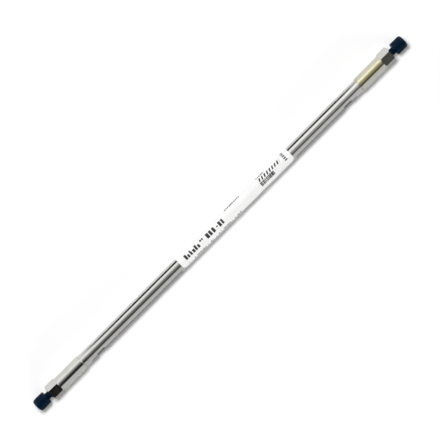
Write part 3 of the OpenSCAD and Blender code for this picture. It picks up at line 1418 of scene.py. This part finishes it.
@dataclass
class Studio:
    """The floor, the light and the camera."""

    tilt: float = 14.7  # angle of the view from straight down, towards the back, in degrees
    picture_width: float = 246.4 * MM  # width of the picture at the column
    # where the picture's middle lies, along the column and across it
    aim: Pair = (1.19 * MM, 1.47 * MM)
    lens: float = 200.0  # focal length in millimetres
    sensor: float = 36.0  # sensor width in millimetres
    # the soft lamps, each of which hangs beyond both ends
    lamps: tuple[Lamp, ...] = (
        Lamp("back_lamp", (0.09, 0.51, 0.85), (0.2, 0.24), 4.85),
        Lamp("low_lamp", (0.6, -0.68, 0.13), (0.4, 0.2), 3.6),
    )
    matt_level: float = 0.16  # the even light that matt surfaces get from all round
    # what the camera sees the floor glow by, so that it is white round the shadow
    floor_lift: float = 0.08
    # how far from the column the floor starts to rise to white, and where it is
    floor_fade: Pair = (0.03, 0.2)
    # the light across the column, as seen from its outlet end, from straight up and positive
    # towards the back, where a level of 1 is white
    outlet_bands: Bands = (
        (-180, 0.62), (-92, 0.62), (-60, 0.69), (-38, 0.68), (-29.5, 0.28), (-22, 0.03),
        (-8, 0.04), (2, 0.09), (14, 0.16), (26, 0.35), (38, 0.77), (50, 1.08), (62, 1.16),
        (75, 1.04), (90, 0.92), (180, 0.62),
    )
    # the same from its inlet end
    inlet_bands: Bands = (
        (-180, 0.62), (-92, 0.69), (-60, 0.73), (-38, 0.65), (-29.5, 0.28), (-22, 0.04),
        (-13, 0.09), (-5, 0.33), (3, 0.5), (14, 0.5), (26, 0.88), (38, 1.3), (50, 1.46),
        (62, 1.23), (75, 1.04), (90, 0.92), (180, 0.62),
    )
    # where the one end's light gives way to the other's, as a share of X
    side_fade: Pair = (-0.08, 0.08)
    # what the light beyond the ends gains at the back and loses at the front
    end_shade: float = 0.9
    back_fade: float = 0.3  # share of Y over which this fades in towards the back and the front
    # share of X over which it fades in towards the ends, at the front and the back
    end_fade: tuple[Pair, Pair] = ((0.12, 0.45), (0.12, 0.4))
    # the cards that only polished metal mirrors
    flags: tuple[Flag, ...] = (
        Flag("pale_flag", (0.0, 0.033), (0.7, 0.058), 0.9),
        Flag("dark_flag", (0.003, 0.126), (0.222, 0.196), 0.02, 0.3 * MM),
        Flag("dark_wall", (0.003, 0.1), (0.22, 0.085), 0.02, stand=90.0),
        Flag("grey_flag", (0.0, -0.05), (0.4, 0.08), 0.6),
        # painted shadow: dark cards lying where the column's shadow falls on the floor in front, so
        # that polished metal mirrors that shadow darker
        Flag("shadow_card_tube_a", (-0.07, -0.012), (0.072, 0.018), 0.16, 0.3 * MM),
        Flag("shadow_card_tube_b", (0.081, -0.012), (0.048, 0.018), 0.16, 0.3 * MM),
        Flag("shadow_card_hex_a", (-0.132, -0.012), (0.0085, 0.018), 0.36, 0.3 * MM),
        Flag("shadow_card_hex_b", (0.132, -0.012), (0.0085, 0.018), 0.4, 0.3 * MM),
        Flag("end_flag", (-0.156, -0.0085), (0.094, 0.025), 0.02, 60.2 * MM),
    )

    def build(self) -> None:
        """Sets up the floor, the lights and the camera."""
        self._floor()
        self._sky()
        for lamp in self.lamps:
            lamp.build()
        for flag in self.flags:
            flag.build(CAD_BOX[0].z)
        self._camera()
        log.info("studio: ready")

    def _floor(self) -> None:
        """Lays a plain white floor under the column, which the camera sees fade out to white."""
        floor = set_down(bpy.ops.mesh.primitive_plane_add, "floor", (6.0, 6.0, 1.0),
                         (0.0, 0.0, CAD_BOX[0].z))
        s = Surface("white_floor")
        x, y = s.split(s.place)[:2]
        past_end = s.less(s.math("ABSOLUTE", x), CAD_BOX[1].x)
        off = s.math("MAXIMUM", s.math("ABSOLUTE", y), past_end)
        glow = s.times(s.span(off, *self.floor_fade, self.floor_lift, 1.0),
                      s.add("ShaderNodeLightPath").outputs["Is Camera Ray"])
        s.paint(Base_Color=(0.9, 0.9, 0.9, 1.0), Roughness=0.9, Specular_IOR_Level=0.1,
                Emission_Color=WHITE, Emission_Strength=glow)
        floor.data.materials.append(s.material)

    def _sky(self) -> None:
        """Lights the column from a world whose brightness changes across it and not along it.

        The bands are what polished metal mirrors. Matt surfaces get an even light, and the camera
        sees plain white.
        """
        world = bpy.data.worlds.new("studio_light")
        bpy.context.scene.world = world
        world.use_nodes = True
        world.node_tree.nodes.clear()
        g = Graph(world.node_tree)
        x, y, z = g.split(g.add("ShaderNodeTexCoord").outputs["Generated"])
        share = g.plus(g.math("DIVIDE", g.math("ARCTAN2", y, z), 2 * math.pi), 0.5)
        peak = max(level for angle, level in self.outlet_bands + self.inlet_bands)
        sides = [g.ramp(share, [(angle / 360.0 + 0.5, (level / peak,) * 3 + (1.0,))
                                for angle, level in bands])
                 for bands in (self.outlet_bands, self.inlet_bands)]
        colour = g.blend(g.span(x, *self.side_fade), *sides)
        off_axis = g.math("ABSOLUTE", x)
        front_ends, rear_ends = self.end_fade
        front = g.times(g.span(y, -self.back_fade, 0.0, 1.0, 0.0),
                        g.span(off_axis, *front_ends, 0.0, -self.end_shade))
        rear = g.times(g.span(y, 0.0, self.back_fade),
                       g.span(off_axis, *rear_ends, 0.0, self.end_shade))
        level = g.times(g.plus(1.0, g.plus(front, rear)), peak)
        bands, matt, white = [
            g.fill(g.add("ShaderNodeBackground"), Color=tone, Strength=strength)[0]
            for tone, strength in ((colour, level), (WHITE, self.matt_level), (WHITE, 1.0))]
        path = g.add("ShaderNodeLightPath").outputs
        lit = g.fill(g.add("ShaderNodeMixShader"), path["Is Glossy Ray"], matt, bands)[0]
        seen = g.fill(g.add("ShaderNodeMixShader"), path["Is Camera Ray"], lit, white)[0]
        g.fill(g.add("ShaderNodeOutputWorld"), seen)

    def _camera(self) -> None:
        """Sets the camera above the column, which runs from the lower left to the upper right."""
        tilt = math.radians(self.tilt)
        back = Vector((0.0, math.sin(tilt), math.cos(tilt)))
        across = Vector((0.0, math.cos(tilt), -math.sin(tilt)))
        along = Vector((1.0, 0.0, 0.0))
        right = (along - across).normalized()
        up = (along + across).normalized()
        distance = self.picture_width * self.lens / self.sensor
        data = bpy.data.cameras.new("camera")
        data.lens = self.lens
        data.sensor_width = self.sensor
        data.clip_end = 20.0
        camera = bpy.data.objects.new("camera", data)
        bpy.context.scene.collection.objects.link(camera)
        turn = Matrix((right, up, back)).transposed().to_4x4()
        target = along * self.aim[0] + across * self.aim[1]
        camera.matrix_world = Matrix.Translation(target + back * distance) @ turn
        bpy.context.scene.camera = camera
        bpy.context.scene.view_settings.view_transform = "Standard"


def main() -> None:
    """Builds and dresses the column, piece by piece, in its studio."""
    logging.basicConfig(level=logging.INFO, format="%(name)s %(message)s")
    deselect_all()
    Studio().build()
    effects = Effects()
    tube = Tube(effects)
    for part in (tube, EndFitting(effects, tube), Plug(effects), Label(effects)):
        part.build()
    sintered = SINTERED_STEEL.material("sintered_steel", effects)
    ring = SEAL_POLYMER.material("ring_polymer", effects)
    for end in End:
        dress_node(f"{end.value}_frit", sintered)
        dress_node(f"{end.value}_frit_ring", ring)
    dress_node("packed_bed", POWDER.material("packed_powder", effects))


if __name__ == "__main__":
    main()
